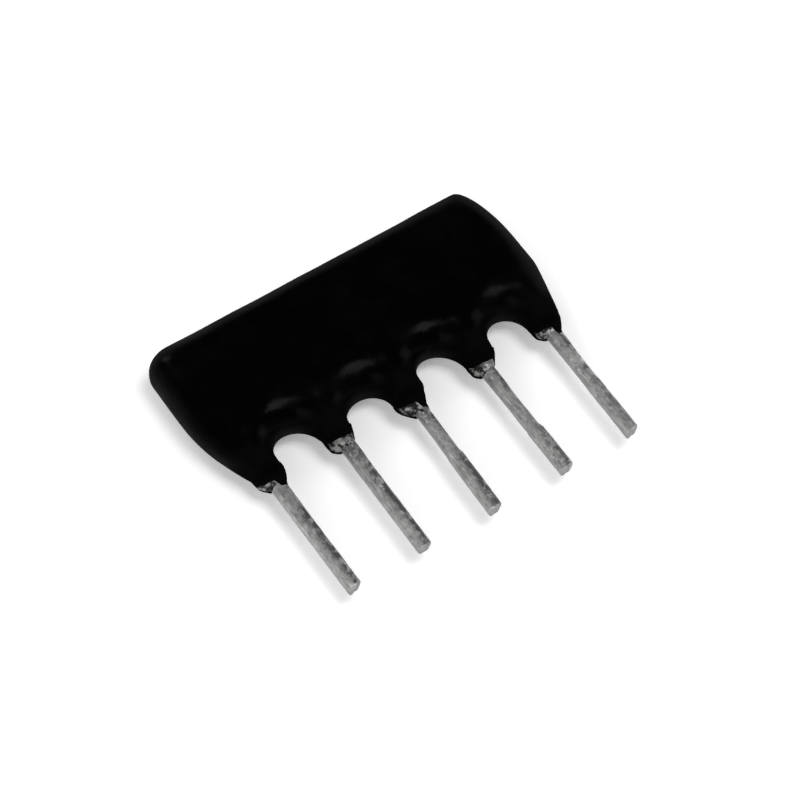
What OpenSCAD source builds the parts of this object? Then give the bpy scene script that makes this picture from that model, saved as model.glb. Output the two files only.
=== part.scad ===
// Single in-line resistor network: thick-film resistors on a ceramic plate,
// clip leads soldered along its lower edge, and a dipped black coating over all.
// It lies on its flat back: X along the lead row, leads pointing to -Y, Z up.

/* [Leads] */
// Number of leads in the row
pin_count = 5; // [3:1:10]
// Spacing of the leads
pitch = 2.54; // [2.3:0.01:3]
// Width of a tinned lead
pin_w = 0.5; // [0.4:0.01:0.56]
// Thickness of a tinned lead
pin_t = 0.34; // [0.27:0.01:0.4]
// Rounding of a lead's long edges
pin_edge_r = 0.11; // [0.04:0.01:0.12]
// Length of a lead from its shoulder to its tip
pin_len = 4.25; // [2.5:0.05:12]
// Thickness of the strip that the clips are stamped from
strip_t = 0.25; // [0.18:0.01:0.3]
// Width over the fingers of a clip
clip_w = 0.84; // [0.72:0.01:1]
// Gap between neighbouring fingers of a clip
finger_gap = 0.06; // [0.04:0.01:0.1]
// Run along the lead in which a finger bends out to its face of the plate
finger_run = 0.7; // [0.5:0.05:0.9]
// Distance below the plate at which a finger has reached its face
finger_lead_in = 0.1; // [0.05:0.01:0.15]
// Length of a finger that grips the plate
finger_grip = 1.1; // [0.8:0.05:1.3]

/* [Ceramic plate] */
// Height of the plate
plate_h = 3.85; // [3.6:0.05:6]
// Thickness of the plate
plate_t = 0.635; // [0.5:0.005:1]

/* [Printed films] */
// Thickness of the printed conductors
film_t = 0.015; // [0.01:0.005:0.03]
// Pad past each side of the solder on it
pad_edge = 0.02; // [0.02:0.01:0.1]
// Clear edge of the plate around the prints
print_edge = 0.12; // [0.05:0.01:0.2]
// Width of the common bus along the top of the plate
bus_w = 0.45; // [0.35:0.01:0.6]
// Pad past each side of its resistor
resistor_inset = 0.05; // [0.02:0.01:0.1]
// Thickness of a resistor over the bare plate
resistor_t = 0.03; // [0.03:0.005:0.06]
// Overlap of a resistor on its conductors
resistor_lap = 0.2; // [0.1:0.01:0.25]
// Width of the laser cut that trims a resistor
trim_w = 0.05; // [0.03:0.01:0.1]
// Depth of that cut into the resistor's side
trim_depth = 0.45; // [0.2:0.05:0.6]
// Thickness of the glass over the resistors
glaze_t = 0.05; // [0.05:0.005:0.08]
// Glass past the resistors' sides
glaze_edge = 0.08; // [0.04:0.01:0.1]

/* [Solder] */
// Solder over the clip's fingers
solder_skin = 0.06; // [0.04:0.01:0.1]
// Bare solder collar below the coating
collar_h = 0.55; // [0.4:0.01:0.9]
// Solder past each side of the clip's shoulder where the coating ends
collar_skin = 0.04; // [0.02:0.01:0.1]
// Thickness of the collar where the coating ends
collar_t = 0.72; // [0.5:0.01:0.9]
// Rounding of the collar's edges where the coating ends
collar_round = 0.16; // [0.1:0.01:0.2]
// Solder around the lead at the collar's lower rim
collar_rim = 0.03; // [0.02:0.005:0.05]
// Plain solder above the tops of the fingers
solder_top = 0.1; // [0.05:0.01:0.15]

/* [Coating] */
// Coating over the soldered clips, front and back
coat_wall = 0.25; // [0.15:0.01:0.5]
// Coating past the plate's ends
coat_end = 0.53; // [0.3:0.01:0.8]
// Coating above the plate
coat_top = 0.52; // [0.3:0.01:0.8]
// Coating below the plate at the notches
coat_foot = 0.3; // [0.25:0.01:0.6]
// Coating around the collar at the end of a lobe
lobe_skin = 0.06; // [0.04:0.01:0.1]
// Height of the notches between the lobes
notch_h = 1.1; // [0.7:0.05:1.6]
// Half height of the coating's parting edge at the notches, ends and top
edge_half = 0.06; // [0.03:0.01:0.15]
// Rounding in the plan of a lobe's lower corners
lobe_corner = 0.18; // [0.1:0.01:0.25]
// Height by which a lobe's rounded flanks run up to its crest
lobe_lift = 0.6; // [0.4:0.05:0.7]
// Rounded top corner along the row
corner_w = 0.9; // [0.6:0.05:1.2]
// Rounded top corner up the ends
corner_h = 1.2; // [0.8:0.05:1.8]
// Roll from the edge to the flat front
front_roll = 0.9; // [0.6:0.02:1]
// Roll from the edge to the flat back
back_roll = 0.7; // [0.5:0.02:0.9]
// Height over which the ends draw in to the outer lobes
end_taper = 2.3; // [1.5:0.1:2.4]

/* [Hidden] */
// Heights along the leads, with zero at the leads' shoulders
notch_top = collar_h + notch_h;
plate_low = notch_top + coat_foot;
plate_top = plate_low + plate_h;
body_top = plate_top + coat_top;
finger_seat = plate_low - finger_lead_in;
finger_root = finger_seat - finger_run;
finger_end = plate_low + finger_grip;
solder_end = finger_end + solder_top;

// Distances along the row, with zero at its middle
row_half = (pin_count - 1) * pitch / 2;
collar_w = clip_w + 2 * collar_skin;
solder_w = clip_w + 2 * solder_skin;
// Rounding that still keeps the fingers' corners under the solder
solder_round = 2.5 * solder_skin;
pad_w = solder_w + 2 * pad_edge;
resistor_w = pad_w - 2 * resistor_inset;
plate_half = row_half + pad_w / 2 + print_edge;
body_half = plate_half + coat_end;
finger_w = (clip_w - 2 * finger_gap) / 3;

// Heights above and below the middle plane of the plate and leads
plate_face = plate_t / 2;
film_face = plate_face + film_t;
solder_front = film_face + strip_t + solder_skin;
solder_back = plate_face + strip_t + solder_skin;
body_front = solder_front + coat_wall;
body_back = solder_back + coat_wall;

// The prints, from the bus down to the pads
bus_top = plate_top - print_edge;
bus_low = bus_top - bus_w;
pad_low = plate_low + print_edge;
glaze_low = solder_end + print_edge;
resistor_low = glaze_low + print_edge;
resistor_top = bus_low + resistor_lap;
pad_top = resistor_low + resistor_lap;

// The coating's outline
lobe_half = collar_w / 2 + lobe_skin;
lobe_thick = collar_t / 2 + lobe_skin;
lobe_flank = collar_h + lobe_corner;
notch_half = pitch / 2 - lobe_half;
taper_top = lobe_flank + end_taper;
// Exponents of the curves by which an end draws in, a flank runs to its lobe's crest,
// and the parting edge thickens towards the collars
taper_power = 1.6;
crest_power = 3;
edge_power = 1.5;

// Steps of the coating's curves
notch_steps = 12;
lobe_steps = 3;
corner_steps = 6;
end_steps = 7;
edge_steps = 12;
roll_steps = 8;
collar_steps = 4;
collar_rise = 4;

$fn = 48;

function pin_x(k) = (k - 1) * pitch - row_half;

// Points of an elliptic arc about c, from angle a to angle b
function arc(c, rx, ry, a, b, steps) = [
  for (i = [0:steps])
    let (t = a + (b - a) * i / steps)
    [c[0] + rx * cos(t), c[1] + ry * sin(t)]
];

// A list without its first point
function rest(points) = [for (i = [1:len(points) - 1]) points[i]];

function clamp(v, low, high) = min(max(v, low), high);

function middle(points) = [for (p = points) 1] * points / len(points);

// A closed solid through equal rings of points, listed clockwise as seen from the last ring
module loft(rings) {
  n = len(rings[0]);
  count = len(rings);
  last = (count - 1) * n;
  // The middles of the two end rings follow the rings' own points
  low_middle = count * n;
  high_middle = low_middle + 1;
  points = [for (ring = rings) each ring];
  low_cap = [for (i = [0:n - 1]) [low_middle, (i + 1) % n, i]];
  high_cap = [for (i = [0:n - 1]) [high_middle, last + i, last + (i + 1) % n]];
  sides = [
    for (j = [0:count - 2])
      for (i = [0:n - 1])
        let (a = j * n + i, b = j * n + (i + 1) % n)
        each [[a, b, a + n], [b, b + n, a + n]]
  ];
  polyhedron(
    concat(points, [middle(rings[0]), middle(rings[count - 1])]),
    concat(low_cap, sides, high_cap),
    convexity = 4
  );
}

// The coating

// Half length of the body at height y of its right end
function end_x(y) =
  let (share = clamp((taper_top - y) / end_taper, 0, 1))
  body_half + (row_half + lobe_half - body_half) * pow(share, taper_power);

// Lower edge of one lobe, from its right flank to its left, and the notch to its left
function lobe_outline(k) =
  let (
    x = pin_x(k),
    reach = lobe_half - lobe_corner,
    right = arc([x + reach, lobe_flank], lobe_corner, lobe_corner, 0, -90, lobe_steps),
    left = arc([x - reach, lobe_flank], lobe_corner, lobe_corner, -90, -180, lobe_steps),
    notch = arc([x - pitch / 2, lobe_flank], notch_half, notch_top - lobe_flank, 0, 180, notch_steps)
  )
  concat(rest(right), left, k > 1 ? rest(notch) : []);

// The whole outline, clockwise as seen from the front
function coat_outline() =
  let (
    cx = body_half - corner_w,
    cy = body_top - corner_h,
    left = arc([-cx, cy], corner_w, corner_h, 180, 90, corner_steps),
    right = arc([cx, cy], corner_w, corner_h, 90, 0, corner_steps),
    edge = [for (i = [1:edge_steps - 1]) [-cx + 2 * cx * i / edge_steps, body_top]],
    drop = [for (i = [1:end_steps]) cy + (lobe_flank - cy) * i / end_steps],
    right_end = [for (y = drop) [end_x(y), y]],
    left_end = [for (i = [end_steps - 2:-1:0]) [-end_x(drop[i]), drop[i]]],
    lobes = [for (k = [pin_count:-1:1]) each lobe_outline(k)]
  )
  concat(left, edge, right, right_end, lobes, left_end);

// Where a point of the outline meets the flat face, after a roll of the given width
function flat_point(p, roll) = [
  p[0] * (body_half - roll) / body_half,
  clamp(p[1], notch_top + roll, body_top - roll)
];

// Half height of the parting edge: thick around the collars, thin elsewhere
function edge_height(p) =
  let (share = clamp((notch_top - p[1]) / notch_h, 0, 1))
  edge_half + (lobe_thick - edge_half) * pow(share, edge_power);

// Share of a lobe's form at a point of the outline: whole up to the notches, fading out above
function lobe_share(p) =
  let (share = clamp((notch_top + lobe_lift - p[1]) / lobe_lift, 0, 1))
  share * share * (3 - 2 * share);

// Where the path from the outline to the flat face bends: over the crest of the nearest lobe
// below, and half way along elsewhere
function bend_point(p, flat) =
  let (
    k = clamp(round((p[0] + row_half) / pitch) + 1, 1, pin_count),
    off = (p[0] - pin_x(k)) / (pitch / 2),
    draw = sign(off) * pow(min(abs(off), 1), crest_power) * pitch / 2,
    crest = [pin_x(k) + draw, p[1] + lobe_lift],
    share = lobe_share(p)
  )
  crest * share + (p + flat) / 2 * (1 - share);

// One ring of the coating at angle t of the roll towards the face at height face
function coat_ring(outline, roll, face, t) =
  let (s = 1 - cos(t))
  [
    for (p = outline)
      let (
        flat = flat_point(p, roll),
        bend = bend_point(p, flat),
        q = p * pow(1 - s, 2) + bend * 2 * s * (1 - s) + flat * s * s,
        edge = edge_height(p)
      )
      [q[0], q[1], sign(face) * (edge + (abs(face) - edge) * sin(t))]
  ];

module coat_shape() {
  outline = coat_outline();
  step = 90 / roll_steps;
  loft(concat(
    [for (t = [90:-step:0]) coat_ring(outline, back_roll, -body_back, t)],
    [for (t = [0:step:90]) coat_ring(outline, front_roll, body_front, t)]
  ));
}

module coating() {
  color([0.02, 0.02, 0.02])
    difference() {
      coat_shape();
      substrate();
      conductor_bus();
      for (k = [2:pin_count]) conductor_pad(k);
      overglaze_block();
      for (k = [1:pin_count]) collar_shape(k);
    }
}

// The ceramic plate and its prints

module substrate() {
  color([0.93, 0.92, 0.88])
    translate([-plate_half, plate_low, -plate_face])
      cube([2 * plate_half, plate_h, plate_t]);
}

// A rectangle printed on the plate's front, centred on x
module print(x, w, low, top, t) {
  translate([x - w / 2, low, plate_face])
    cube([w, top - low, t]);
}

// Common conductor: the first pad, a riser and the bus that all resistors share
module conductor_bus() {
  bus_left = pin_x(1) - pad_w / 2;
  bus_right = pin_x(pin_count) + pad_w / 2;
  color([0.72, 0.7, 0.66])
    union() {
      print(pin_x(1), pad_w, pad_low, bus_top, film_t);
      print((bus_left + bus_right) / 2, bus_right - bus_left, bus_low, bus_top, film_t);
    }
}

module conductor_pad(k) {
  color([0.72, 0.7, 0.66])
    print(pin_x(k), pad_w, pad_low, pad_top, film_t);
}

// A resistor between the pad of lead k + 1 and the bus, with its laser cut
module resistor(k) {
  x = pin_x(k + 1);
  middle = (pad_top + bus_low) / 2;
  color([0.12, 0.13, 0.14])
    difference() {
      print(x, resistor_w, resistor_low, resistor_top, resistor_t);
      conductor_pad(k + 1);
      conductor_bus();
      translate([x + resistor_w / 2 - trim_depth, middle - trim_w / 2, plate_face])
        cube([trim_depth, trim_w, resistor_t]);
    }
}

// The space that the glass takes, with what it covers
module overglaze_block() {
  left = pin_x(2) - resistor_w / 2 - glaze_edge;
  right = pin_x(pin_count) + resistor_w / 2 + glaze_edge;
  print((left + right) / 2, right - left, glaze_low, bus_top, glaze_t);
}

module overglaze() {
  color([0.1, 0.35, 0.2])
    difference() {
      overglaze_block();
      conductor_bus();
      for (k = [2:pin_count]) conductor_pad(k);
      for (k = [1:pin_count - 1]) resistor(k);
    }
}

// The leads

// A rectangle with round corners, about the origin
module round_bar(w, t, r) {
  square([w - 2 * r, t], center = true);
  square([w, t - 2 * r], center = true);
  for (x = [-1, 1])
    for (y = [-1, 1])
      translate([x * (w / 2 - r), y * (t / 2 - r)])
        circle(r);
}

// Side view of a finger that rises to height z of its middle, as [along the lead, height]
module finger_profile(z) {
  fall = sign(z) * strip_t / 2;
  // The mitre of the bent strip
  mitre = strip_t / 2 * tan(atan2(abs(z), finger_run) / 2);
  polygon([
    [finger_root + mitre, -fall],
    [finger_seat + mitre, z - fall],
    [finger_end, z - fall],
    [finger_end, z + fall],
    [finger_seat - mitre, z + fall],
    [finger_root - mitre, fall],
    [finger_root - strip_t, fall],
    [finger_root - strip_t, -fall]
  ]);
}

// A finger at x of its middle
module finger(x, z) {
  translate([x - finger_w / 2, 0, 0])
    rotate([90, 0, 90])
      linear_extrude(finger_w)
        finger_profile(z);
}

// A lead: the pin, its shoulder, two fingers on the front of the plate and one on the back
module lead(k) {
  front = film_face + strip_t / 2;
  back = -plate_face - strip_t / 2;
  color([0.72, 0.72, 0.7])
    translate([pin_x(k), 0, 0])
      union() {
        rotate([90, 0, 0])
          linear_extrude(pin_len)
            round_bar(pin_w, pin_t, pin_edge_r);
        translate([0, 0, -strip_t / 2])
          linear_extrude(strip_t)
            polygon([
              [-pin_w / 2 + pin_edge_r, -pin_edge_r],
              [-pin_w / 2 + pin_edge_r, 0],
              [-clip_w / 2, collar_h],
              [-clip_w / 2, finger_root - strip_t / 2],
              [clip_w / 2, finger_root - strip_t / 2],
              [clip_w / 2, collar_h],
              [pin_w / 2 - pin_edge_r, 0],
              [pin_w / 2 - pin_edge_r, -pin_edge_r]
            ]);
        for (side = [-1, 1]) finger(side * (finger_w + finger_gap), front);
        finger(0, back);
      }
}

// The solder

// One ring of a collar at height y: half width w, front and back reach, corner radius r
function collar_ring(x, y, w, front, back, r) =
  let (
    ring = concat(
      arc([w - r, front - r], r, r, 0, 90, collar_steps),
      arc([r - w, front - r], r, r, 90, 180, collar_steps),
      arc([r - w, r - back], r, r, 180, 270, collar_steps),
      arc([w - r, r - back], r, r, 270, 360, collar_steps)
    )
  )
  [for (i = [len(ring) - 1:-1:0]) [x + ring[i][0], y, ring[i][1]]];

// Outside of the solder: a funnel from the pin to the plate, then a sheath over the fingers
module collar_shape(k) {
  x = pin_x(k);
  pin_wrap = pin_w / 2 + collar_rim;
  pin_cover = pin_t / 2 + collar_rim;
  pin_round = pin_edge_r + collar_rim;
  sheath = solder_w / 2;
  loft([
    collar_ring(x, solder_end, sheath, solder_front, solder_back, solder_round),
    collar_ring(x, finger_seat, sheath, solder_front, solder_back, solder_round),
    // The bare collar bulges from the pin to its full size
    for (i = [collar_rise:-1:0])
      let (
        share = sin(90 * i / collar_rise),
        w = pin_wrap + (collar_w / 2 - pin_wrap) * share,
        t = pin_cover + (collar_t / 2 - pin_cover) * share,
        r = pin_round + (collar_round - pin_round) * share
      )
      collar_ring(x, collar_h * i / collar_rise, w, t, t, r)
  ]);
}

module solder(k) {
  color([0.78, 0.78, 0.76])
    difference() {
      collar_shape(k);
      lead(k);
      substrate();
      if (k == 1) conductor_bus();
      if (k > 1) conductor_pad(k);
    }
}

// Stands the part on its flat back, with its outline centred on the origin
module placed() {
  translate([0, (pin_len - body_top) / 2, body_back])
    children();
}

placed() coating();
placed() substrate();
placed() overglaze();
placed() conductor_bus();
for (k = [2:pin_count])
  placed() conductor_pad(k);
for (k = [1:pin_count - 1])
  placed() resistor(k);
for (k = [1:pin_count])
  placed() lead(k);
for (k = [1:pin_count])
  placed() solder(k);
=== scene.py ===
"""A five-lead resistor network: dipped black coating, tinned clip leads and bare solder collars.

Shapes are worked out in millimetres on the part's own axes: x along the lead row, y up from the
leads' shoulders and z from the middle plane of the leads. to_frame() takes them to the frame's metres.
What differs from lead to lead is a tuple with one value for each lead, from left to right.
"""

import math

import bmesh
import bpy
import numpy as np
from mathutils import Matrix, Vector, geometry, noise


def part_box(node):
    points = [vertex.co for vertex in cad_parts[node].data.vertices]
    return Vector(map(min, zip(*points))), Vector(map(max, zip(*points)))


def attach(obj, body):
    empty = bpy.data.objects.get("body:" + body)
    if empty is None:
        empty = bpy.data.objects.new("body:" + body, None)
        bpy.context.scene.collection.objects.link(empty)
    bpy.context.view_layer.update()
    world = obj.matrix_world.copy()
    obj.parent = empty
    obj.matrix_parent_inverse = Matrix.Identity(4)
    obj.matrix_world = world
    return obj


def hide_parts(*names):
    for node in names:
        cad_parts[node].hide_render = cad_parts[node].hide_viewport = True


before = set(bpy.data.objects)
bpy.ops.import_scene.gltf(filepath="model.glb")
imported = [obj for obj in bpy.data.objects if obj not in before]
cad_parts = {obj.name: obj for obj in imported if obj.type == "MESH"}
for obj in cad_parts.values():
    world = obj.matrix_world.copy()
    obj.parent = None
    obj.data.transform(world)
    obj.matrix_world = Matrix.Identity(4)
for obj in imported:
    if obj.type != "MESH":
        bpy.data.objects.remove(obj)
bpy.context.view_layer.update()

MM = 0.001


# Sizes read from the frame

def box_mm(node):
    """Lowest and highest corner of a CAD node, in millimetres."""
    low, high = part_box(node)
    return np.array(low) / MM, np.array(high) / MM


lead_count = sum(name.startswith("lead_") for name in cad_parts)
leads = range(lead_count)
lead_boxes = [box_mm(f"lead_{k + 1}") for k in leads]
plate_low, plate_high = box_mm("substrate")
coat_low, coat_high = box_mm("coating")

shoulder_y = box_mm("solder_1")[0][1]
lead_z = (plate_low[2] + plate_high[2]) / 2
part_origin = np.array([0, shoulder_y, lead_z])
pin_x = [(low[0] + high[0]) / 2 for low, high in lead_boxes]
pitch = pin_x[1] - pin_x[0]
pin_len = shoulder_y - lead_boxes[0][0][1]
front_z = coat_high[2] - lead_z
back_z = coat_low[2] - lead_z


# Coating: the two ends as the dip left them, each with its half length, its rounded top corner, its
# top, and the height and power of the taper that draws it in to the outer lobe
LEFT_END = dict(half=6.385, corner_w=0.95, corner_h=0.76, top=6.22, taper=3.00, power=2.05)
RIGHT_END = dict(half=6.19, corner_w=0.82, corner_h=2.50, top=6.39, taper=1.98, power=1.17)
CORNER_STEPS, TAPER_STEPS, TOP_STEPS = 24, 30, 24
TOP_SAG = 0.02
# Notches from left to right: shift from midway between the leads, half width, top, and lean of the arch
NOTCH_SHIFT = (-0.04, -0.05, 0.11, 0.10)
NOTCH_HALF = (0.79, 0.78, 0.78, 0.72)
NOTCH_TOP = (1.63, 1.47, 1.65, 1.63)
NOTCH_LEAN = (-0.08, 0.05, -0.08, 0.05)
NOTCH_STEPS = 36
# Lobes: reach of the outer two beyond their leads, height of their ends, and radius of their corners
OUTER_FLANKS = (0.54, 0.63)
LOBE_LOW = 0.55
LOBE_CORNER = 0.20
LOBE_CORNER_STEPS = 6
LOBE_FLANK = LOBE_LOW + LOBE_CORNER
# Thickness from the middle plane at the parting edge and at the lobes' ends, and the run over which
# the lobes' crests rise to the full body
EDGE_HALF = 0.06
LOBE_THICK = 0.50
CREST_RUN = 1.70
CREST_POWER = 1.6
# Radius of the rolled edge at the lobes, low on the body and at its top, and the heights between
# which each passes to the next
LOBE_ROLL, LOW_ROLL, TOP_ROLL = 0.36, 1.20, 0.84
LOBE_TO_LOW = (0.7, 1.9)
LOW_TO_TOP = (2.6, 4.6)
# Mesh of the coating: rims close to the outline, then a grid that stays clear of the last rim and whose
# rows lie a share of a step apart
OUTLINE_STEP = 0.06
RIM_INSETS = (0.008, 0.03, 0.065, 0.11, 0.16)
NEAR_RIM = 0.05
GRID_STEP = 0.075
GRID_ROW_SHARE = 0.87
RIM_CLEAR_SHARE = 0.9
GRID_CLEAR = RIM_INSETS[-1] * RIM_CLEAR_SHARE + GRID_STEP / 2
# A hair's shift of the outline, so that no point lies at no distance from it, the distance under which
# points count as one, and the number of shares in which insets are worked out to save memory
HAIR = 1e-4
WELD = 1e-7
INSET_SHARES = 32
# Valleys between the clips, which show through on the front: depth, the heights at which they begin, are
# deepest and run out, where they fade out behind the front, and the spread of a clip's ridge
VALLEY_DEPTH = 0.03
VALLEY_FOOT, VALLEY_LOW, VALLEY_TOP = 1.2, 2.1, 3.7
VALLEY_FROM_Z = 0.2
CLIP_SPREAD = 0.62

# Skirts, where the coating ends on each collar: its height at the front, the angle from the right at
# which that front edge begins, its height on the right, and the angle at which it passes to the back
SKIRT_FRONT = (0.22, 0.40, 0.30, 0.34, 0.35)
SKIRT_FROM = (97, 45, 97, 45, 88)
SKIRT_RIGHT = (-0.08, 0.46, 0.00, 0.40, 0.00)
SKIRT_UNDER = (222, 202, 202, 202, 203)
# Degrees of the edge's turn to the front, the end of the front, its drop to the back, and the back's end
SKIRT_TURN, SKIRT_FRONT_END, SKIRT_DROP, SKIRT_BACK_END = 25, 140, 12, 300
# Slow rise of the edge along the right, the front and the back, and its steep rise on the left
RIGHT_RISE, FRONT_RISE, BACK_RISE, LEFT_RISE = 0.02, 0.04, 0.05, 0.27
# Sets the rags of one skirt apart from those of the next
SKIRT_APART = 3.1
SKIRT_TOP = 0.92
SKIRT_STEPS = 18
# Film over the collar at the front, at the back, and what is added on the right of each
SKIRT_FILM = 0.022
SKIRT_BACK_FILM = 0.07
SKIRT_RIGHT_FILM = (0.09, 0.03, 0.00, 0.03, 0.07)
# How deep a skirt starts inside its lobe and the share of its run at which it is out, the share from
# which its added film thins and by how much, the height of its lower lip, and the lip's inner edge
SKIRT_TUCK = 0.12
SKIRT_OUT = 0.45
SKIRT_THIN_FROM = 0.55
SKIRT_THINNING = 0.75
SKIRT_LIP = 0.014
SKIRT_INNER = -0.03
# Heights between which the film grows from thin on the lobes to full on the body
THIN_FILM = (0.9, 1.7)

# Collars: foot of the shoulder on the left and on the right of each, and the rise of its shoulder
COLLAR_FOOT = (0.10, 0.12, -0.04, 0.09, 0.17)
RIGHT_FOOT = (0.10, 0.12, 0.14, 0.09, 0.17)
SHOULDER_RISE = (0.30, 0.22, 0.55, 0.22, 0.26)
# Share of a collar's swell that its shoulder takes, the rise of the even funnel that takes the rest, the
# top inside the lobe and how much it draws in there, the half thickness, and the stand over the tin
SHOULDER_SHARE = 0.72
FUNNEL_RISE = 0.62
COLLAR_TOP = 0.85
COLLAR_TUCK = 0.15
COLLAR_HALF_T = 0.26
COLLAR_PROUD = 0.015
# Solder that has wicked down a lead, and how far it sinks into the tin at its end
WICK = 0.20
WICK_SINK = 0.03
# Extra solder at the back of a collar, the run above the foot in which it grows, and the heights
# between which it runs out to the lobe
COLLAR_BACK = 0.045
COLLAR_BACK_RUN = 0.12
COLLAR_BACK_OUT = (0.40, 0.58)
# Height over the foot at which the solder's lumps are full
LUMPS_FULL = 0.05
# Rounding of a collar's section as a share of its half width, and the points and rings of its mesh
COLLAR_ROUND = 0.75
COLLAR_SIDES = 120
COLLAR_STEPS = 44

# Leads: section, top inside the collar, mesh, and the shift of each at its root and at its tip
PIN_HALF_W = 0.25
PIN_HALF_T = 0.17
PIN_ROUND = 0.145
PIN_ROUND_CLEAR = 0.005
PIN_TOP = 0.30
PIN_STEP = 0.035
PIN_SIDES = 56
ROOT_SHIFT = (-0.03, -0.02, 0.05, 0.04, 0.04)
TIP_SHIFT = (0.00, -0.05, -0.08, 0.01, -0.06)
# Where the thicker tin of the second dip begins, what it adds on the right, how it fades in, and the
# share of the full width that a lead has above it
DIP_LINE = (-0.6, -0.7, -1.9, -2.45, -2.0)
DIP_STEP = (0.010, 0.010, 0.025, 0.040, 0.012)
DIP_FADE = 0.12
NECK = (0.98, 0.97, 0.91, 0.90, 0.96)
# Flare of the tin on the right at the root
ROOT_FLARE = (0.04, 0.04, 0.00, 0.04, 0.04)
ROOT_FLARE_RUN = (-1.1, -0.2)
# Cut tip: burr at the lower left, what the cut trims off, how far it rolls up on the right, the length
# that is bent, the rounded edge, and the rings across the face
BURR = (0.08, 0.03, 0.05, 0.05, 0.07)
TIP_TRIM = (0.02, 0.04, 0.00, 0.01, 0.03)
TIP_ROLL = 0.05
TIP_RUN = 0.30
TIP_EDGE = 0.07
TIP_EDGE_STEPS = 5
TIP_FACE_INSETS = (0.10, 0.13, 0.158)
# Where the burr grows to the left and to the back, and the roll to the right
BURR_ACROSS = (0.04, 0.24)
BURR_BEHIND = (-0.12, 0.12)
ROLL_ACROSS = (0.02, 0.25)
# Dark tin: the height below which a mottled stain, partly painted shade, lies on the right and how strong
# it is there, how much darker the root is made, and the strength of the painted shade along the right
# with its gain near the root
STAIN_SHADE_LINE = (-0.9, -0.6, -2.0, -2.4, -1.9)
STAIN_SHADE_DEPTH = (1.0, 1.0, 0.95, 0.9, 0.45)
ROOT_DARKENING = (0.35, 0.8, 0.8, 0.55, 0.35)
RIGHT_SHADE = (0.1, 0.0, 0.5, 0.5, 0.6)
ROOT_SHADE_GAIN = 0.8
# Where they fade in: below the line of the stain and shade, across to the right, and up to the root
STAIN_SHADE_FADE = (-0.25, 0.35)
STAIN_SHADE_ACROSS = (-0.12, 0.14)
SHADE_ACROSS = (-0.02, 0.16)
ROOT_DARKENING_RUN = (-0.75, -0.2)
ROOT_SHADE_RUN = (-1.2, -0.4)
# How bare of bright tin the sheared sides and the cut tips are, the sides darker also as painted shade, and
# the run over which each begins: back from the front face, and down to the cut
SIDE_SHEAR_AND_SHADE, SIDE_RUN = 0.8, (-0.16, -0.02)
TIP_SHEAR, TIP_SHEAR_RUN = 0.6, (-0.10, -0.02)

# Unevenness as layers of lumps: height, size, share of the height that they are sunk by, and seed
DIP_WAVES = ((0.016, 1.9, 0, 1), (0.007, 0.75, 0, 2))
DIP_SWAY = ((0.012, 1.3, 0, 3),)
SKIRT_RAGS = ((0.035, 0.5, 0, 11), (0.015, 0.2, 0, 21))
COLLAR_LUMPS = ((0.022, 0.20, 0.45, 31), (0.008, 0.09, 0.4, 41))
TIN_LUMPS = ((0.009, 0.30, 0, 51), (0.004, 0.10, 0, 61))
# Where the dip's waves fade in to the front, and its sway above the lobes
WAVES_FROM_Z = (-0.2, 0.3)
SWAY_FROM_Y = (0.9, 1.6)
# The tin's lumps are drawn out along the leads, and fade in over the cut
TIN_DRAW = 0.45
TIN_LUMPS_RUN = 0.1
# Steps in the noise from one seed to the next
SEED_STEPS = (17.3, 5.1, 9.7)

# Steps round each corner of a rounded bar, and the angle in degrees over which an edge is sharp
BAR_CORNER_STEPS = 10
SHARP_DEG = 50

# The clips and their solder are squeezed a little where the lobes are slimmer than the CAD ones, and
# are kept above the heights at which the visible leads and collars have taken over
SQUEEZE = 0.72
SQUEEZE_LOW, SQUEEZE_TOP = 1.1, 1.8
CLIP_CUT = 0.42
SHEATH_CUT = 0.72


# Shape helpers

def smooth(value, low, high):
    """0 below low, 1 above high, and an even S between them."""
    share = np.clip((value - low) / (high - low), 0, 1)
    return share * share * (3 - 2 * share)


def arc(centre, rx, ry, start, end, steps):
    """Points of an elliptic arc, with the angles in degrees."""
    t = np.radians(np.linspace(start, end, steps + 1))
    return np.column_stack((centre[0] + rx * np.cos(t), centre[1] + ry * np.sin(t)))


def evenly(points, count):
    """A closed outline through the given points, with count points spread evenly."""
    closed = np.vstack((points, points[:1]))
    run = np.concatenate(([0], np.cumsum(np.linalg.norm(np.diff(closed, axis=0), axis=1))))
    at = np.linspace(0, run[-1], count, endpoint=False)
    return np.column_stack([np.interp(at, run, closed[:, axis]) for axis in (0, 1)])


def rounded_bar(half_w, half_t, radius, sides):
    """A rounded rectangle about the origin as (x, z)."""
    flat_w, flat_t = half_w - radius, half_t - radius
    corners = [
        arc((sx * flat_w, sz * flat_t), radius, radius, start, start + 90, BAR_CORNER_STEPS)
        for sx, sz, start in ((1, 1, 0), (-1, 1, 90), (-1, -1, 180), (1, -1, 270))
    ]
    return evenly(np.vstack(corners), sides)


def lumps(points, size, seed):
    """Soft noise between -1 and 1 at each point, with lumps of about the given size."""
    shift = Vector([seed * step for step in SEED_STEPS])
    return np.array([noise.noise(Vector(p) / size + shift) for p in points])


def unevenness(points, layers, k=0):
    """The layers of lumps added up at each point, with lumps of its own for each k."""
    return sum(height * (lumps(points, size, seed + k) - sunk) for height, size, sunk, seed in layers)


def skin(rings):
    """A closed skin through equal rings of points, with both end rings filled."""
    count, sides = len(rings), len(rings[0])
    faces = []
    for j in range(count - 1):
        ring, below = j * sides, (j + 1) * sides
        for i in range(sides):
            after = (i + 1) % sides
            faces.append((ring + i, ring + after, below + after, below + i))
    last = (count - 1) * sides
    faces.append(tuple(range(sides)))
    faces.append(tuple(last + i for i in range(sides)))
    return np.vstack(rings), faces


def to_frame(points):
    """Points on the part's own axes, in the frame's metres."""
    return (np.asarray(points) + part_origin) * MM


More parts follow.
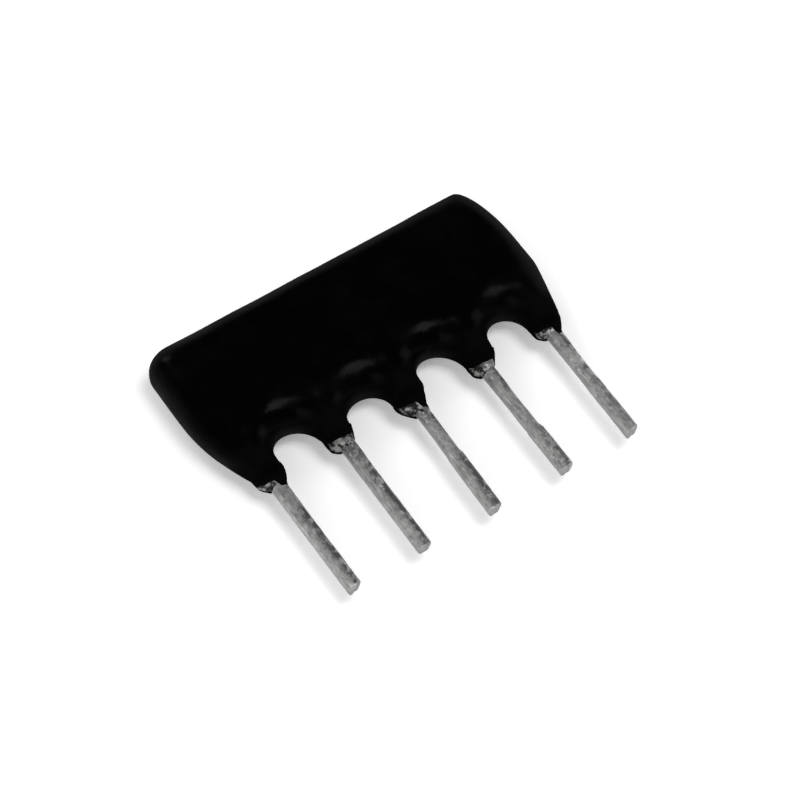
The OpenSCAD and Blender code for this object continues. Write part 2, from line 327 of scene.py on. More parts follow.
def piece(name, skins, finish, node):
    """One visible piece made of closed skins, in place of a CAD node."""
    mesh = bpy.data.meshes.new(name)
    bm = bmesh.new()
    for points, faces in skins:
        verts = [bm.verts.new(p) for p in to_frame(points)]
        for face in faces:
            bm.faces.new([verts[i] for i in face])
    bmesh.ops.recalc_face_normals(bm, faces=bm.faces)
    bm.to_mesh(mesh)
    bm.free()
    mesh.shade_smooth()
    mesh.set_sharp_from_angle(angle=math.radians(SHARP_DEG))
    mesh.materials.append(finish)
    obj = bpy.data.objects.new(name, mesh)
    bpy.context.scene.collection.objects.link(obj)
    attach(obj, "root")
    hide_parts(node)
    return obj


def inner_part(node, k, cut):
    """The part of a CAD node above a height, drawn in to the slimmer lobe below the plate."""
    bm = bmesh.new()
    bm.from_mesh(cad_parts[node].data)
    bmesh.ops.remove_doubles(bm, verts=bm.verts, dist=WELD)
    whole = bm.verts[:] + bm.edges[:] + bm.faces[:]
    plane = to_frame([[0, cut, 0]])[0]
    bmesh.ops.bisect_plane(bm, geom=whole, plane_co=plane, plane_no=(0, 1, 0), clear_inner=True)
    bmesh.ops.holes_fill(bm, edges=[e for e in bm.edges if e.is_boundary])
    bm.verts.index_update()
    points = np.array([v.co for v in bm.verts]) / MM - part_origin
    faces = [tuple(v.index for v in f.verts) for f in bm.faces]
    bm.free()
    draw = SQUEEZE + (1 - SQUEEZE) * smooth(points[:, 1], SQUEEZE_LOW, SQUEEZE_TOP)
    points[:, 0] = pin_x[k] + ROOT_SHIFT[k] + (points[:, 0] - pin_x[k]) * draw
    points[:, 2] *= draw
    return points, faces


# The coating's body

def lobe_flanks():
    """Left and right flank of every lobe, as the notches leave them."""
    middles = [pin_x[k] + pitch / 2 + NOTCH_SHIFT[k] for k in range(lead_count - 1)]
    left = [pin_x[0] - OUTER_FLANKS[0]] + [m + half for m, half in zip(middles, NOTCH_HALF)]
    right = [m - half for m, half in zip(middles, NOTCH_HALF)] + [pin_x[-1] + OUTER_FLANKS[1]]
    return left, right


left_flanks, right_flanks = lobe_flanks()


def end_profile(end, flank, side):
    """Points down one end, from the top edge to the outer lobe's flank."""
    half, corner_w, corner_h = end["half"], end["corner_w"], end["corner_h"]
    corner_foot = end["top"] - corner_h
    corner = arc((half - corner_w, corner_foot), corner_w, corner_h, 90, 0, CORNER_STEPS)
    y = np.linspace(corner_foot, LOBE_FLANK, TAPER_STEPS)[1:]
    share = np.clip((LOBE_FLANK + end["taper"] - y) / end["taper"], 0, 1)
    x = half + (flank - half) * share ** end["power"]
    return np.vstack((corner, np.column_stack((x, y)))) * (side, 1)


def top_edge(start, end):
    """Points between the two ends along the top, which sags a little."""
    share = np.linspace(0, 1, TOP_STEPS)[1:-1, None]
    sag = TOP_SAG * 4 * share * (1 - share)
    return start + (end - start) * share - sag * (0, 1)


def notch_arch(k):
    """Points over one notch, from its right foot to its left one."""
    middle = (right_flanks[k] + left_flanks[k + 1]) / 2
    bow = arc((0, 0), 1, 1, 0, 180, NOTCH_STEPS)[1:-1]
    x = middle + NOTCH_HALF[k] * bow[:, 0] + NOTCH_LEAN[k] * bow[:, 1]
    return np.column_stack((x, LOBE_FLANK + (NOTCH_TOP[k] - LOBE_FLANK) * bow[:, 1]))


def coat_outline():
    """The coating's parting line, clockwise as seen from the front."""
    left_end = end_profile(LEFT_END, -left_flanks[0], -1)[::-1]
    right_end = end_profile(RIGHT_END, right_flanks[-1], 1)
    runs = [left_end, top_edge(left_end[-1], right_end[0]), right_end]
    for k in reversed(leads):
        corner_right = (right_flanks[k] - LOBE_CORNER, LOBE_FLANK)
        corner_left = (left_flanks[k] + LOBE_CORNER, LOBE_FLANK)
        runs.append(arc(corner_right, LOBE_CORNER, LOBE_CORNER, 0, -90, LOBE_CORNER_STEPS)[1:])
        runs.append(arc(corner_left, LOBE_CORNER, LOBE_CORNER, -90, -180, LOBE_CORNER_STEPS))
        if k > 0:
            runs.append(notch_arch(k - 1))
    points = np.vstack(runs)
    length = np.linalg.norm(np.diff(points, axis=0), axis=1).sum()
    return evenly(points, int(length / OUTLINE_STEP))


def within(points, outline):
    """Which of the points lie inside the outline."""
    x, y = points.T
    crossings = np.zeros(len(points), int)
    for (x0, y0), (x1, y1) in zip(outline, np.roll(outline, -1, axis=0)):
        if y0 != y1:
            crossings += ((y0 > y) != (y1 > y)) & (x < x0 + (y - y0) * (x1 - x0) / (y1 - y0))
    return crossings % 2 == 1


def soft_inset(points, outline):
    """Distance in from the outline, true by a straight edge and with the ridges smoothed away."""
    length = np.linalg.norm(np.roll(outline, -1, axis=0) - np.roll(outline, 1, axis=0), axis=1) / 2
    insets = []
    for some in np.array_split(points, INSET_SHARES):
        gap = ((some[:, None] - outline) ** 2).sum(axis=2)
        insets.append((2 / math.pi * (length / gap ** 2).sum(axis=1)) ** (-1 / 3))
    return np.concatenate(insets)


def plan_grid(outline):
    """An even grid of points inside the outline, clear of its rims."""
    low, high = outline.min(axis=0), outline.max(axis=0)
    rows = []
    for j, y in enumerate(np.arange(low[1], high[1], GRID_STEP * GRID_ROW_SHARE)):
        x = np.arange(low[0] + (j % 2) * GRID_STEP / 2, high[0], GRID_STEP)
        rows.append(np.column_stack((x, np.full(len(x), y))))
    grid = np.vstack(rows)
    grid = grid[within(grid, outline)]
    return grid[soft_inset(grid, outline) > GRID_CLEAR]


def coat_plan(outline):
    """Points over the coating's plan with their insets: rims along the outline, then an even grid."""
    along = np.roll(outline, -1, axis=0) - np.roll(outline, 1, axis=0)
    inward = np.column_stack((along[:, 1], -along[:, 0])) / np.linalg.norm(along, axis=1)[:, None]
    rims = [outline + inward * inset for inset in (0, *RIM_INSETS)]
    points = np.vstack(rims + [plan_grid(outline)])
    rim_insets = np.repeat((0, *RIM_INSETS), len(outline))
    insets = soft_inset(points, outline + HAIR)
    insets[:len(rim_insets)] = np.where(rim_insets > NEAR_RIM, insets[:len(rim_insets)], rim_insets)
    return points, insets


def coat_height(y, inset, face):
    """Height of the coating over the middle plane, rolled off to its parting edge."""
    lobe = np.clip(1 - (y - LOBE_LOW) / CREST_RUN, 0, 1) ** CREST_POWER
    height = face + (LOBE_THICK - face) * lobe
    roll = LOBE_ROLL + (LOW_ROLL - LOBE_ROLL) * smooth(y, *LOBE_TO_LOW)
    roll = roll + (TOP_ROLL - LOW_ROLL) * smooth(y, *LOW_TO_TOP)
    flat = 1 - np.minimum(inset / roll, 1)
    return EDGE_HALF + (height - EDGE_HALF) * np.sqrt(1 - flat * flat)


def front_valleys(points):
    """Lowers the front between the clips, whose solder shows through as soft ridges."""
    x, y, z = points.T
    ridge = sum(np.exp(-(((x - pin_x[k]) / CLIP_SPREAD) ** 2)) for k in leads)
    along = smooth(y, VALLEY_FOOT, VALLEY_LOW) * (1 - smooth(y, VALLEY_LOW, VALLEY_TOP))
    lowered = points.copy()
    lowered[:, 2] -= VALLEY_DEPTH * (1 - np.minimum(ridge, 1)) * along * smooth(z, VALLEY_FROM_Z, front_z)
    return lowered


def dip_waves(points):
    """The slow unevenness of a dipped surface, on its front and along its upper edges."""
    waved = points.copy()
    waved[:, 2] += unevenness(points, DIP_WAVES) * smooth(points[:, 2], *WAVES_FROM_Z)
    waved[:, 1] += unevenness(waved, DIP_SWAY) * smooth(points[:, 1], *SWAY_FROM_Y)
    return waved


def coat_body():
    """The coating's closed skin: front and back over one plan, joined round the parting edge."""
    outline = coat_outline()
    count = len(outline)
    points, insets = coat_plan(outline)
    edges = [(i, (i + 1) % count) for i in range(count)]
    made = geometry.delaunay_2d_cdt([Vector(p) for p in points], edges, [], 1, WELD)
    plan, triangles, sources = np.array(made[0]), made[2], made[3]
    inset = np.array([insets[source[0]] for source in sources])
    place = {i: j for j, source in enumerate(sources) for i in source}
    front = np.column_stack((plan, coat_height(plan[:, 1], inset, front_z)))
    back = np.column_stack((plan, -coat_height(plan[:, 1], inset, -back_z)))
    total = len(plan)
    faces = [tuple(t) for t in triangles] + [tuple(total + i for i in reversed(t)) for t in triangles]
    faces += [(place[i], place[j], total + place[j], total + place[i]) for i, j in edges]
    body = dip_waves(front_valleys(np.vstack((front, back))))
    body[:, 2] = np.clip(body[:, 2], back_z, front_z)
    return body, faces


# The solder collars

UNIT_BAR = rounded_bar(1, 1, COLLAR_ROUND, COLLAR_SIDES)
COLLAR_ANGLES = np.arctan2(UNIT_BAR[:, 1], UNIT_BAR[:, 0])
# 1 round the back of a collar ring and 0 at its front, and 1 on its right and 0 on its left
COLLAR_BEHIND = smooth(-np.sin(COLLAR_ANGLES), -0.1, 0.5)
COLLAR_RIGHT = smooth(np.cos(COLLAR_ANGLES), 0.3, 0.9)


def collar_ring(k, y, film):
    """One ring round a collar, its points at heights y, with a film of some thickness over it."""
    y = np.broadcast_to(np.asarray(y, float), (COLLAR_SIDES,))
    rise = y - COLLAR_FOOT[k]
    shoulder = np.sin(np.clip(rise / SHOULDER_RISE[k], 0, 1) * math.pi / 2)
    tucked = 1 - COLLAR_TUCK * smooth(rise, FUNNEL_RISE, COLLAR_TOP)
    funnel = np.clip(rise / FUNNEL_RISE, 0, 1) * tucked
    right_funnel = np.clip((y - RIGHT_FOOT[k]) / FUNNEL_RISE, 0, 1) * tucked
    swell = SHOULDER_SHARE * shoulder * tucked + (1 - SHOULDER_SHARE) * funnel
    proud = COLLAR_PROUD - WICK_SINK * smooth(-rise, 0, WICK)
    centre = pin_x[k] + ROOT_SHIFT[k]
    half_w, half_t = PIN_HALF_W * NECK[k] + proud, PIN_HALF_T + proud
    left = half_w + (centre - left_flanks[k] - half_w) * swell
    right = half_w + (right_flanks[k] - centre - half_w) * right_funnel
    u, w = UNIT_BAR.T
    x = centre + u * np.where(u < 0, left, right) + film * np.cos(COLLAR_ANGLES)
    z = w * (half_t + (COLLAR_HALF_T - half_t) * swell) + film * np.sin(COLLAR_ANGLES)
    return np.column_stack((x, y, z))


def solder_collar(k):
    """The bare solder round one lead's root, with its sheath round the clip inside the coating."""
    foot, wick_end = COLLAR_FOOT[k], COLLAR_FOOT[k] - WICK
    heights = np.linspace(COLLAR_TOP, wick_end, COLLAR_STEPS)
    bulge = smooth(heights, foot, foot + COLLAR_BACK_RUN) * (1 - smooth(heights, *COLLAR_BACK_OUT))
    rings = [collar_ring(k, y, COLLAR_BACK * COLLAR_BEHIND * share) for y, share in zip(heights, bulge)]
    points, faces = skin(rings)
    outward = np.tile(UNIT_BAR, (COLLAR_STEPS, 1))
    rough = unevenness(points, COLLAR_LUMPS, k) * smooth(points[:, 1], wick_end, foot + LUMPS_FULL)
    points[:, 0] += outward[:, 0] * rough
    points[:, 2] += outward[:, 1] * rough
    node = f"solder_{k + 1}"
    sheath = inner_part(node, k, SHEATH_CUT)
    return piece(f"solder_collar_{k + 1}", [(points, faces), sheath], solder_finish, node)


# The coating's skirts over the collars

def skirt_ends(k):
    """Heights of the coating's edge round one collar, at each point of a collar ring."""
    front, right, under = SKIRT_FRONT[k], SKIRT_RIGHT[k], COLLAR_FOOT[k]
    front_from, under_from = SKIRT_FROM[k], SKIRT_UNDER[k]
    corners = (
        (0, right),
        (front_from - SKIRT_TURN, right + RIGHT_RISE),
        (front_from, front),
        (SKIRT_FRONT_END, front + FRONT_RISE),
        (under_from - SKIRT_DROP, front + LEFT_RISE),
        (under_from, under),
        (SKIRT_BACK_END, under + BACK_RISE),
        (360, right),
    )
    ends = np.interp(np.degrees(COLLAR_ANGLES) % 360, *zip(*corners))
    apart = np.full(COLLAR_SIDES, SKIRT_APART * k)
    circle = np.column_stack((np.cos(COLLAR_ANGLES), np.sin(COLLAR_ANGLES), apart))
    return ends + unevenness(circle, SKIRT_RAGS, k)


def skirt(k):
    """The film of coating that runs down over one collar to an uneven edge."""
    ends = skirt_ends(k)
    film = SKIRT_FILM + (SKIRT_BACK_FILM - SKIRT_FILM) * COLLAR_BEHIND
    right_film = SKIRT_RIGHT_FILM[k] * COLLAR_RIGHT
    rings = []
    for share in np.linspace(0, 1, SKIRT_STEPS + 1):
        y = SKIRT_TOP + (ends - SKIRT_TOP) * share
        sunk = SKIRT_TUCK * (1 - smooth(share, 0, SKIRT_OUT))
        run_out = 1 - SKIRT_THINNING * smooth(share, SKIRT_THIN_FROM, 1)
        rings.append(collar_ring(k, y, film + right_film * run_out - sunk))
    rings.append(collar_ring(k, ends - SKIRT_LIP, film / 2))
    rings.append(collar_ring(k, ends - SKIRT_LIP, SKIRT_INNER))
    return skin(rings)


def coating():
    """The whole dip: the body and a skirt over each collar."""
    skins = [coat_body()] + [skirt(k) for k in leads]
    return piece("coating_dip", skins, coat_finish, "coating")


# The leads

def pin_ring(k, y, inset):
    """One ring of a lead at height y, drawn in by inset at the cut end."""
    along = np.clip(-y / pin_len, 0, 1)
    dipped = smooth(-y, -DIP_LINE[k] - DIP_FADE, -DIP_LINE[k] + DIP_FADE)
    neck = NECK[k] + (1 - NECK[k]) * dipped
    radius = min(PIN_ROUND, PIN_HALF_T - inset - PIN_ROUND_CLEAR)
    ring = rounded_bar(PIN_HALF_W * neck - inset, PIN_HALF_T - inset, radius, PIN_SIDES)
    axis_x = pin_x[k] + ROOT_SHIFT[k] + (TIP_SHIFT[k] - ROOT_SHIFT[k]) * along
    spread = DIP_STEP[k] * dipped + ROOT_FLARE[k] * smooth(y, *ROOT_FLARE_RUN)
    x = axis_x + ring[:, 0] + spread * smooth(ring[:, 0], 0, PIN_HALF_W)
    return np.column_stack((x, np.full(PIN_SIDES, y), ring[:, 1]))


def pin_rings(k):
    """All rings of a lead, from inside the collar down to the middle of the cut face."""
    rings = [pin_ring(k, y, 0) for y in np.arange(PIN_TOP, -pin_len + TIP_EDGE, -PIN_STEP)]
    for t in np.linspace(0, math.pi / 2, TIP_EDGE_STEPS + 1):
        y = -pin_len + TIP_EDGE * (1 - math.sin(t))
        rings.append(pin_ring(k, y, TIP_EDGE * (1 - math.cos(t))))
    return rings + [pin_ring(k, -pin_len, inset) for inset in TIP_FACE_INSETS]


def tin_skin(points, across, k):
    """Moves a lead's points by the unevenness of its tin, which the cut face lacks."""
    outward = np.column_stack((across, 0 * across, points[:, 2]))
    outward /= np.linalg.norm(outward, axis=1)[:, None]
    rough = unevenness(points * (1, TIN_DRAW, 1), TIN_LUMPS, k)
    rough *= smooth(points[:, 1], -pin_len, -pin_len + TIN_LUMPS_RUN)
    return points + outward * rough[:, None]


def cut_tip(points, across, k):
    """Moves a lead's lowest points as the cutter did: a burr on one side, rolled over on the other."""
    x, y, z = points.T
    near_tip = smooth(-y, pin_len - TIP_RUN, pin_len)
    burr = BURR[k] * smooth(-across, *BURR_ACROSS) * smooth(-z, *BURR_BEHIND)
    rolled = (TIP_ROLL + BURR[k] / 2) * smooth(across, *ROLL_ACROSS)
    return np.column_stack((x, y + near_tip * (TIP_TRIM[k] + rolled - burr), z))


def tin_stain(points, across, k):
    """How dark the tin is at each point: stain and painted shade low on the right, darker at the root, and
    painted shade along the right.
    """
    y = points[:, 1]
    # a dark stain low on the right side, partly a real stain and partly painted shade
    low = smooth(-y, -STAIN_SHADE_LINE[k] + STAIN_SHADE_FADE[0], -STAIN_SHADE_LINE[k] + STAIN_SHADE_FADE[1])
    stain = STAIN_SHADE_DEPTH[k] * smooth(across, *STAIN_SHADE_ACROSS) * low
    # the tin is made darker towards the root
    stain = stain + ROOT_DARKENING[k] * smooth(y, *ROOT_DARKENING_RUN)
    near_root = 1 + ROOT_SHADE_GAIN * smooth(y, *ROOT_SHADE_RUN)
    # painted shade: the tin is darkened along its right side, more so near the root
    dull_and_shade = RIGHT_SHADE[k] * smooth(across, *SHADE_ACROSS) * near_root
    return np.maximum(stain, dull_and_shade)


def lead(k):
    """One tinned lead, with its clip inside the coating."""
    rings = pin_rings(k)
    points, faces = skin(rings)
    across = points[:, 0] - np.repeat([ring[:, 0].mean() for ring in rings], PIN_SIDES)
    points = tin_skin(points, across, k)
    tip_face = smooth(-points[:, 1], pin_len + TIP_SHEAR_RUN[0], pin_len + TIP_SHEAR_RUN[1])
    points = cut_tip(points, across, k)
    # the sides of the lead, darkened as bare sheared metal and as painted shade
    side_face = smooth(-points[:, 2], *SIDE_RUN)
    node = f"lead_{k + 1}"
    clip = inner_part(node, k, CLIP_CUT)
    obj = piece(f"tinned_lead_{k + 1}", [(points, faces), clip], tin_finish, node)
    marks = {
        "stain": tin_stain(points, across, k),
        "sheared_and_shaded": np.maximum(SIDE_SHEAR_AND_SHADE * side_face, TIP_SHEAR * tip_face),
    }
    for name, values in marks.items():
        store = obj.data.attributes.new(name, "FLOAT", "POINT")
        store.data.foreach_set("value", np.concatenate((values, np.zeros(len(clip[0])))))
    return obj


# Finishes

def new_finish(name, **sockets):
    """A material with a Principled shader, its plain sockets set."""
    finish = bpy.data.materials.new(name)
    finish.use_nodes = True
    tree = finish.node_tree
    shader = tree.nodes["Principled BSDF"]
    for socket, value in sockets.items():
        shader.inputs[socket.replace("_", " ")].default_value = value
    return finish, tree, shader


def add(tree, kind, settings=None, **inputs):
    """A node with its settings, and its inputs set to values or linked to sockets."""
    node = tree.nodes.new(kind)
    for name, value in (settings or {}).items():
        setattr(node, name, value)
    for name, value in inputs.items():
        key = int(name[3:]) if name.startswith("in_") else name.replace("_", " ")
        if isinstance(value, bpy.types.NodeSocket):
            tree.links.new(value, node.inputs[key])
        else:
            node.inputs[key].default_value = value
    return node


def maths(tree, operation, a, b, clamp=False):
    """The result of a sum on two numbers or sockets."""
    settings = {"operation": operation, "use_clamp": clamp}
    return add(tree, "ShaderNodeMath", settings, in_0=a, in_1=b).outputs[0]


def ramp(tree, value, low, high, first, last, soft=False):
    """A number that goes from first to last as the value goes from low to high."""
    settings = {"interpolation_type": "SMOOTHSTEP" if soft else "LINEAR"}
    node = add(tree, "ShaderNodeMapRange", settings, in_0=value, in_1=low, in_2=high, in_3=first, in_4=last)
    return node.outputs[0]


def between(tree, share, first, last):
    """A number that goes from first to last with a share from 0 to 1."""
    return ramp(tree, share, 0.0, 1.0, first, last)


def blend(tree, share, first, second):
    """A colour that goes from first to second with a share from 0 to 1."""
    mix = tree.nodes.new("ShaderNodeMix")
    mix.data_type = "RGBA"
    tree.links.new(share, mix.inputs[0])
    for socket, colour in ((mix.inputs[6], first), (mix.inputs[7], second)):
        if isinstance(colour, bpy.types.NodeSocket):
            tree.links.new(colour, socket)
        else:
            socket.default_value = (*colour, 1)
    return mix.outputs[2]


def feed(tree, shader, colour, roughness):
    """Links a colour and a roughness that vary to the shader."""
    tree.links.new(colour, shader.inputs["Base Color"])
    tree.links.new(roughness, shader.inputs["Roughness"])


def bump(tree, shader, height, depth_mm, strength):
    """Links a bump of the given depth to the shader."""
    made = add(tree, "ShaderNodeBump", Strength=strength, Distance=depth_mm * MM, Height=height)
    tree.links.new(made.outputs["Normal"], shader.inputs["Normal"])


def new_group(name, inputs, output):
    """An empty shader group with number inputs and one number output."""
    group = bpy.data.node_groups.new(name, "ShaderNodeTree")
    for socket, value in inputs.items():
        made = group.interface.new_socket(socket, in_out="INPUT", socket_type="NodeSocketFloat")
        made.default_value = value
    group.interface.new_socket(output, in_out="OUTPUT", socket_type="NodeSocketFloat")
    return group, group.nodes.new("NodeGroupInput"), group.nodes.new("NodeGroupOutput")


def place_in_mm(tree, stretch):
    """The surface point in millimetres, its y divided by the stretch socket."""
    place = add(tree, "ShaderNodeTexCoord").outputs["Object"]
    scale = add(tree, "ShaderNodeCombineXYZ", X=1 / MM, Y=maths(tree, "DIVIDE", 1 / MM, stretch), Z=1 / MM)
    settings = {"operation": "MULTIPLY"}
    return add(tree, "ShaderNodeVectorMath", settings, in_0=place, in_1=scale.outputs[0]).outputs[0]


def make_blotches():
    """Soft-edged patches: Cover is the share of the surface that they take."""
    inputs = {"Scale": 2.0, "Stretch": 1.0, "Cover": 0.5, "Softness": 0.1, "Detail": 4.0}
    group, given, result = new_group("blotches", inputs, "Mask")
    place = place_in_mm(group, given.outputs["Stretch"])
    scale, detail = given.outputs["Scale"], given.outputs["Detail"]
    cloud = add(group, "ShaderNodeTexNoise", Vector=place, Scale=scale, Detail=detail, Roughness=0.6)
    level = ramp(group, given.outputs["Cover"], 0.0, 1.0, 0.75, 0.25)
    low = maths(group, "SUBTRACT", level, given.outputs["Softness"])
    high = maths(group, "ADD", level, given.outputs["Softness"])
    mask = ramp(group, cloud.outputs["Fac"], low, high, 0.0, 1.0, soft=True)
    group.links.new(mask, result.inputs["Mask"])
    return group


def make_grain():
    """Fine even grain between 0 and 1, drawn out along the leads by Stretch."""
    group, given, result = new_group("grain", {"Scale": 10.0, "Stretch": 1.0}, "Grain")
    place = place_in_mm(group, given.outputs["Stretch"])
    scale = given.outputs["Scale"]
    cloud = add(group, "ShaderNodeTexNoise", Vector=place, Scale=scale, Detail=3.0, Roughness=0.65)
    group.links.new(ramp(group, cloud.outputs["Fac"], 0.25, 0.75, 0.0, 1.0), result.inputs["Grain"])
    return group


BLOTCHES = make_blotches()
GRAIN = make_grain()


def blotches(tree, **inputs):
    """The blotches group, placed in a material with its own values."""
    return add(tree, "ShaderNodeGroup", {"node_tree": BLOTCHES}, **inputs).outputs["Mask"]


def grain(tree, **inputs):
    """The grain group, placed in a material with its own values."""
    return add(tree, "ShaderNodeGroup", {"node_tree": GRAIN}, **inputs).outputs["Grain"]


def make_coat_finish():
    """Black dipped epoxy: glossy, duller in patches, at a slant and on the thin lobes, with orange peel."""
    finish, tree, shader = new_finish("black_dip_coat", Specular_IOR_Level=0.022)
    dull_and_shade = blotches(tree, Scale=0.9, Cover=0.45, Softness=0.14)
    peel = grain(tree, Scale=4.5)
    colour = blend(tree, dull_and_shade, (0.0005, 0.0005, 0.0006), (0.0011, 0.0011, 0.0011))
    slant = add(tree, "ShaderNodeLayerWeight", Blend=0.5).outputs["Facing"]
    place = add(tree, "ShaderNodeTexCoord").outputs["Object"]
    height = add(tree, "ShaderNodeSeparateXYZ", Vector=place).outputs["Y"]
    thin_low, thin_high = [(shoulder_y + rise) * MM for rise in THIN_FILM]
    on_slant = ramp(tree, slant, 0.25, 0.65, 0.0, 0.4)
    on_lobes = ramp(tree, height, thin_low, thin_high, 0.45, 0.0, soft=True)
    roughness = maths(tree, "ADD", between(tree, dull_and_shade, 0.16, 0.28), on_slant)
    roughness = maths(tree, "ADD", roughness, on_lobes, clamp=True)
    feed(tree, shader, colour, roughness)
    bump(tree, shader, peel, 0.006, 0.35)
    return finish


def make_tin_finish():
    """Dip-tinned lead: satin grey, streaked along its length, pitted and mottled dark where it is stained
    and where shade is painted on its right, and dark grey on its sheared sides, which also carry painted
    shade.
    """
    finish, tree, shader = new_finish("dip_tinned_lead", Metallic=1.0)
    stain = add(tree, "ShaderNodeAttribute", {"attribute_name": "stain"}).outputs["Fac"]
    sheared_and_shaded = add(tree, "ShaderNodeAttribute", {"attribute_name": "sheared_and_shaded"}).outputs["Fac"]
    mottle = blotches(tree, Scale=6.0, Stretch=1.4, Cover=0.58, Softness=0.09, Detail=6.0)
    pits = blotches(tree, Scale=9.0, Stretch=1.6, Cover=0.34, Softness=0.07)
    streaks = grain(tree, Scale=11.0, Stretch=6.0)
    cloud = grain(tree, Scale=4.0, Stretch=2.0)
    speck = grain(tree, Scale=13.0, Stretch=1.6)
    clean = blend(tree, streaks, (0.34, 0.34, 0.336), (0.95, 0.95, 0.94))
    dulled = blend(tree, cloud, (0.36, 0.36, 0.356), clean)
    # the pits and the dark mottle follow the stain, which on the right side is partly painted shade
    pit_depth = maths(tree, "MULTIPLY", pits, between(tree, stain, 0.42, 1.0))
    pitted = blend(tree, pit_depth, dulled, (0.13, 0.13, 0.128))
    stained = blend(tree, maths(tree, "MULTIPLY", mottle, stain), pitted, (0.12, 0.12, 0.118))
    # dark grey where the metal is sheared: the cut tips, and the sides, which also carry painted shade
    colour = blend(tree, sheared_and_shaded, stained, (0.30, 0.30, 0.296))
    torn = maths(tree, "MULTIPLY", sheared_and_shaded, 0.22)
    roughness = maths(tree, "ADD", between(tree, speck, 0.34, 0.52), torn)
    feed(tree, shader, colour, roughness)
    bump(tree, shader, speck, 0.014, 0.8)
    return finish


def make_solder_finish():
    """Bare solder: frosty grey, with dark flux left in its hollows."""
    finish, tree, shader = new_finish("bare_solder", Metallic=1.0)
    flux = blotches(tree, Scale=3.6, Cover=0.50, Softness=0.07, Detail=3.0)
    frost = grain(tree, Scale=9.0)
    metal = blend(tree, frost, (0.18, 0.18, 0.176), (0.33, 0.33, 0.322))
    colour = blend(tree, flux, metal, (0.02, 0.02, 0.02))
    feed(tree, shader, colour, between(tree, flux, 0.46, 0.6))
    bump(tree, shader, frost, 0.006, 0.5)
    return finish


def make_ceramic_finish():
    """Fired alumina: off-white with a fine grain."""
    finish, tree, shader = new_finish("alumina_plate")
    speck = grain(tree, Scale=18.0)
    colour = blend(tree, speck, (0.78, 0.77, 0.73), (0.86, 0.85, 0.82))
    feed(tree, shader, colour, between(tree, speck, 0.5, 0.62))
    bump(tree, shader, speck, 0.003, 0.5)
    return finish


def make_glaze_finish():
    """Fired green overglaze with a glassy skin."""
    finish, tree, shader = new_finish("green_overglaze", Coat_Weight=0.4)
    cloud = blotches(tree, Scale=1.4, Cover=0.5, Softness=0.2)
    speck = grain(tree, Scale=8.0)
    colour = blend(tree, cloud, (0.02, 0.11, 0.05), (0.035, 0.16, 0.08))
    feed(tree, shader, colour, between(tree, speck, 0.18, 0.3))
    bump(tree, shader, speck, 0.003, 0.4)
    return finish


def make_conductor_finish():
    """Printed silver-palladium: matt pale metal with tarnished patches."""
    finish, tree, shader = new_finish("printed_conductor", Metallic=1.0)
    tarnish = blotches(tree, Scale=2.4, Cover=0.35, Softness=0.12)
    mesh_mark = grain(tree, Scale=12.0)
    colour = blend(tree, tarnish, (0.62, 0.6, 0.56), (0.4, 0.37, 0.32))
    feed(tree, shader, colour, between(tree, mesh_mark, 0.4, 0.58))
    bump(tree, shader, mesh_mark, 0.004, 0.5)
    return finish


def make_resistor_finish():
    """Printed resistor ink: near-black and gritty."""
    finish, tree, shader = new_finish("resistor_ink")
    grit = grain(tree, Scale=20.0)
    colour = blend(tree, grit, (0.012, 0.012, 0.013), (0.03, 0.031, 0.034))
    feed(tree, shader, colour, between(tree, grit, 0.45, 0.65))
    bump(tree, shader, grit, 0.004, 0.6)
    return finish


coat_finish = make_coat_finish()
tin_finish = make_tin_finish()
solder_finish = make_solder_finish()


def dress_inner_nodes():
    """Gives the sealed pieces that stay as the CAD made them their own finishes."""
    finishes = {
        "substrate": make_ceramic_finish(),
        "overglaze": make_glaze_finish(),
        "conductor": make_conductor_finish(),
        "resistor": make_resistor_finish(),
    }
    for name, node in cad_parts.items():
        finish = finishes.get(name.split("_")[0])
        if finish:
            for slot in node.material_slots:
                slot.material = finish


# The studio

# Floor, in metres, and how much its paper is lifted where it is seen as the background
FLOOR_RADIUS = 1.5
FLOOR_SIDES = 128
PAPER_LIFT = 0.26
# Soft lamps: place and side in metres, and watts
SOFTBOXES = {
    "key_softbox": ((-0.40, -0.25, 0.43), 0.40, 0.9),
    "top_softbox": ((0.12, -0.17, 0.60), 0.26, 1.7),
    "side_softbox": ((0.55, -0.08, 0.30), 0.25, 0.4),
    "rear_softbox": ((-0.12, 0.55, 0.42), 0.20, 0.8),
}
# Brightness of the room low down and overhead, and the heights (sines) between which it fades
HORIZON_LIGHT, ZENITH_LIGHT = 1.0, 0.15
FADE_LOW, FADE_HIGH = 0.10, 0.62
# Camera: degrees, millimetres, the picture's focal length and width in pixels, and its range in metres
CAMERA_AZIMUTH = -33.22
CAMERA_ELEVATION = 55.51
CAMERA_DISTANCE = 83.07
CAMERA_TARGET = (-0.277, -0.320, lead_z)
SENSOR_MM = 36.0
FOCAL_PIXELS = 2686.9
PICTURE_PIXELS = 800
CAMERA_NEAR, CAMERA_FAR = 0.005, 5.0


def paper_finish():
    """White backdrop paper, lifted a little where it is seen as the background."""
    finish, tree, shader = new_finish("studio_paper", Specular_IOR_Level=0.1, Emission_Strength=1.0)
    tone = grain(tree, Scale=0.15)
    colour = blend(tree, tone, (0.93, 0.93, 0.93), (0.95, 0.95, 0.95))
    feed(tree, shader, colour, between(tree, tone, 0.8, 0.9))
    rays = add(tree, "ShaderNodeLightPath").outputs
    seen = maths(tree, "MAXIMUM", rays["Is Camera Ray"], rays["Is Glossy Ray"])
    seen = maths(tree, "MAXIMUM", seen, rays["Is Transmission Ray"])
    lift = blend(tree, seen, (0, 0, 0), (PAPER_LIFT, PAPER_LIFT, PAPER_LIFT))
    tree.links.new(lift, shader.inputs["Emission Color"])
    return finish


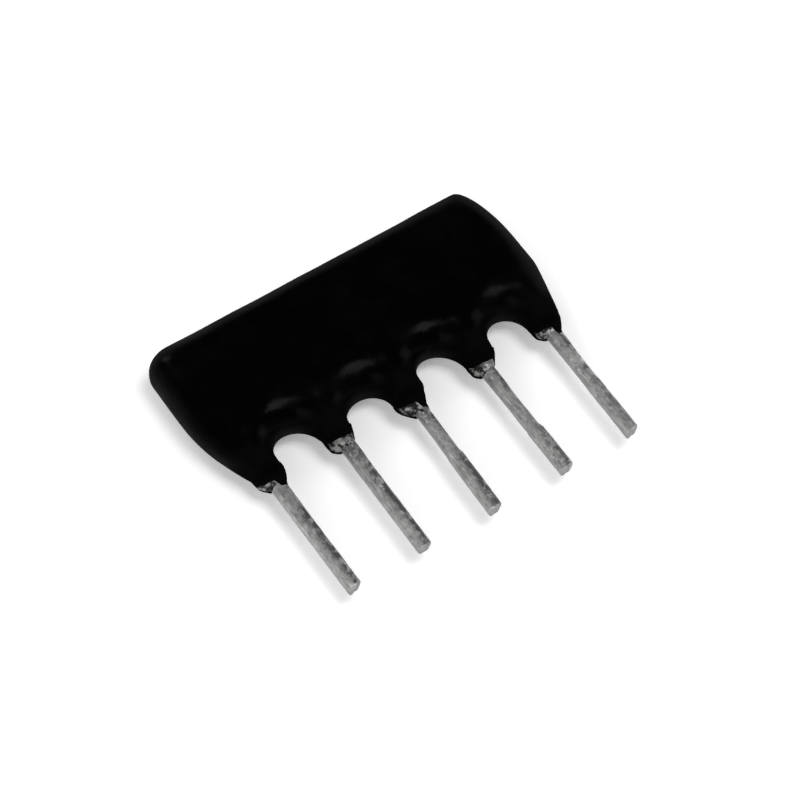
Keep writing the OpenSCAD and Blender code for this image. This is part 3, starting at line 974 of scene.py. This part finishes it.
def floor():
    """A round sheet of pale paper under the part."""
    mesh = bpy.data.meshes.new("studio_floor")
    bm = bmesh.new()
    bmesh.ops.create_circle(bm, cap_ends=True, radius=FLOOR_RADIUS, segments=FLOOR_SIDES)
    bm.to_mesh(mesh)
    bm.free()
    mesh.materials.append(paper_finish())
    obj = bpy.data.objects.new("studio_floor", mesh)
    bpy.context.scene.collection.objects.link(obj)


def softbox(name, place, side, watts):
    """A square soft lamp that looks at the part."""
    lamp = bpy.data.lights.new(name, "AREA")
    lamp.shape = "SQUARE"
    lamp.size = side
    lamp.energy = watts
    obj = bpy.data.objects.new(name, lamp)
    obj.location = place
    obj.rotation_euler = (-Vector(place)).to_track_quat("-Z", "Y").to_euler()
    bpy.context.scene.collection.objects.link(obj)


def room_light():
    """A plain room: bright low down all round, dim overhead."""
    world = bpy.data.worlds.new("studio_room")
    world.use_nodes = True
    tree = world.node_tree
    way = add(tree, "ShaderNodeSeparateXYZ", Vector=add(tree, "ShaderNodeTexCoord").outputs["Generated"])
    fade = ramp(tree, way.outputs["Z"], FADE_LOW, FADE_HIGH, HORIZON_LIGHT, ZENITH_LIGHT, soft=True)
    tree.links.new(fade, tree.nodes["Background"].inputs["Color"])
    bpy.context.scene.world = world


def photo_camera():
    """The camera at the photograph's viewing angle."""
    a, e = math.radians(CAMERA_AZIMUTH), math.radians(CAMERA_ELEVATION)
    back = Vector((math.sin(a) * math.cos(e), -math.cos(a) * math.cos(e), math.sin(e)))
    camera = bpy.data.cameras.new("photo_camera")
    camera.sensor_width = SENSOR_MM
    camera.lens = SENSOR_MM * FOCAL_PIXELS / PICTURE_PIXELS
    camera.clip_start = CAMERA_NEAR
    camera.clip_end = CAMERA_FAR
    obj = bpy.data.objects.new("photo_camera", camera)
    obj.location = (Vector(CAMERA_TARGET) + back * CAMERA_DISTANCE) * MM
    obj.rotation_euler = (-back).to_track_quat("-Z", "Y").to_euler()
    bpy.context.scene.collection.objects.link(obj)
    bpy.context.scene.camera = obj


coating()
for k in leads:
    solder_collar(k)
    lead(k)
dress_inner_nodes()
floor()
for name, (place, side, watts) in SOFTBOXES.items():
    softbox(name, place, side, watts)
room_light()
photo_camera()
bpy.context.scene.view_settings.view_transform = "Standard"
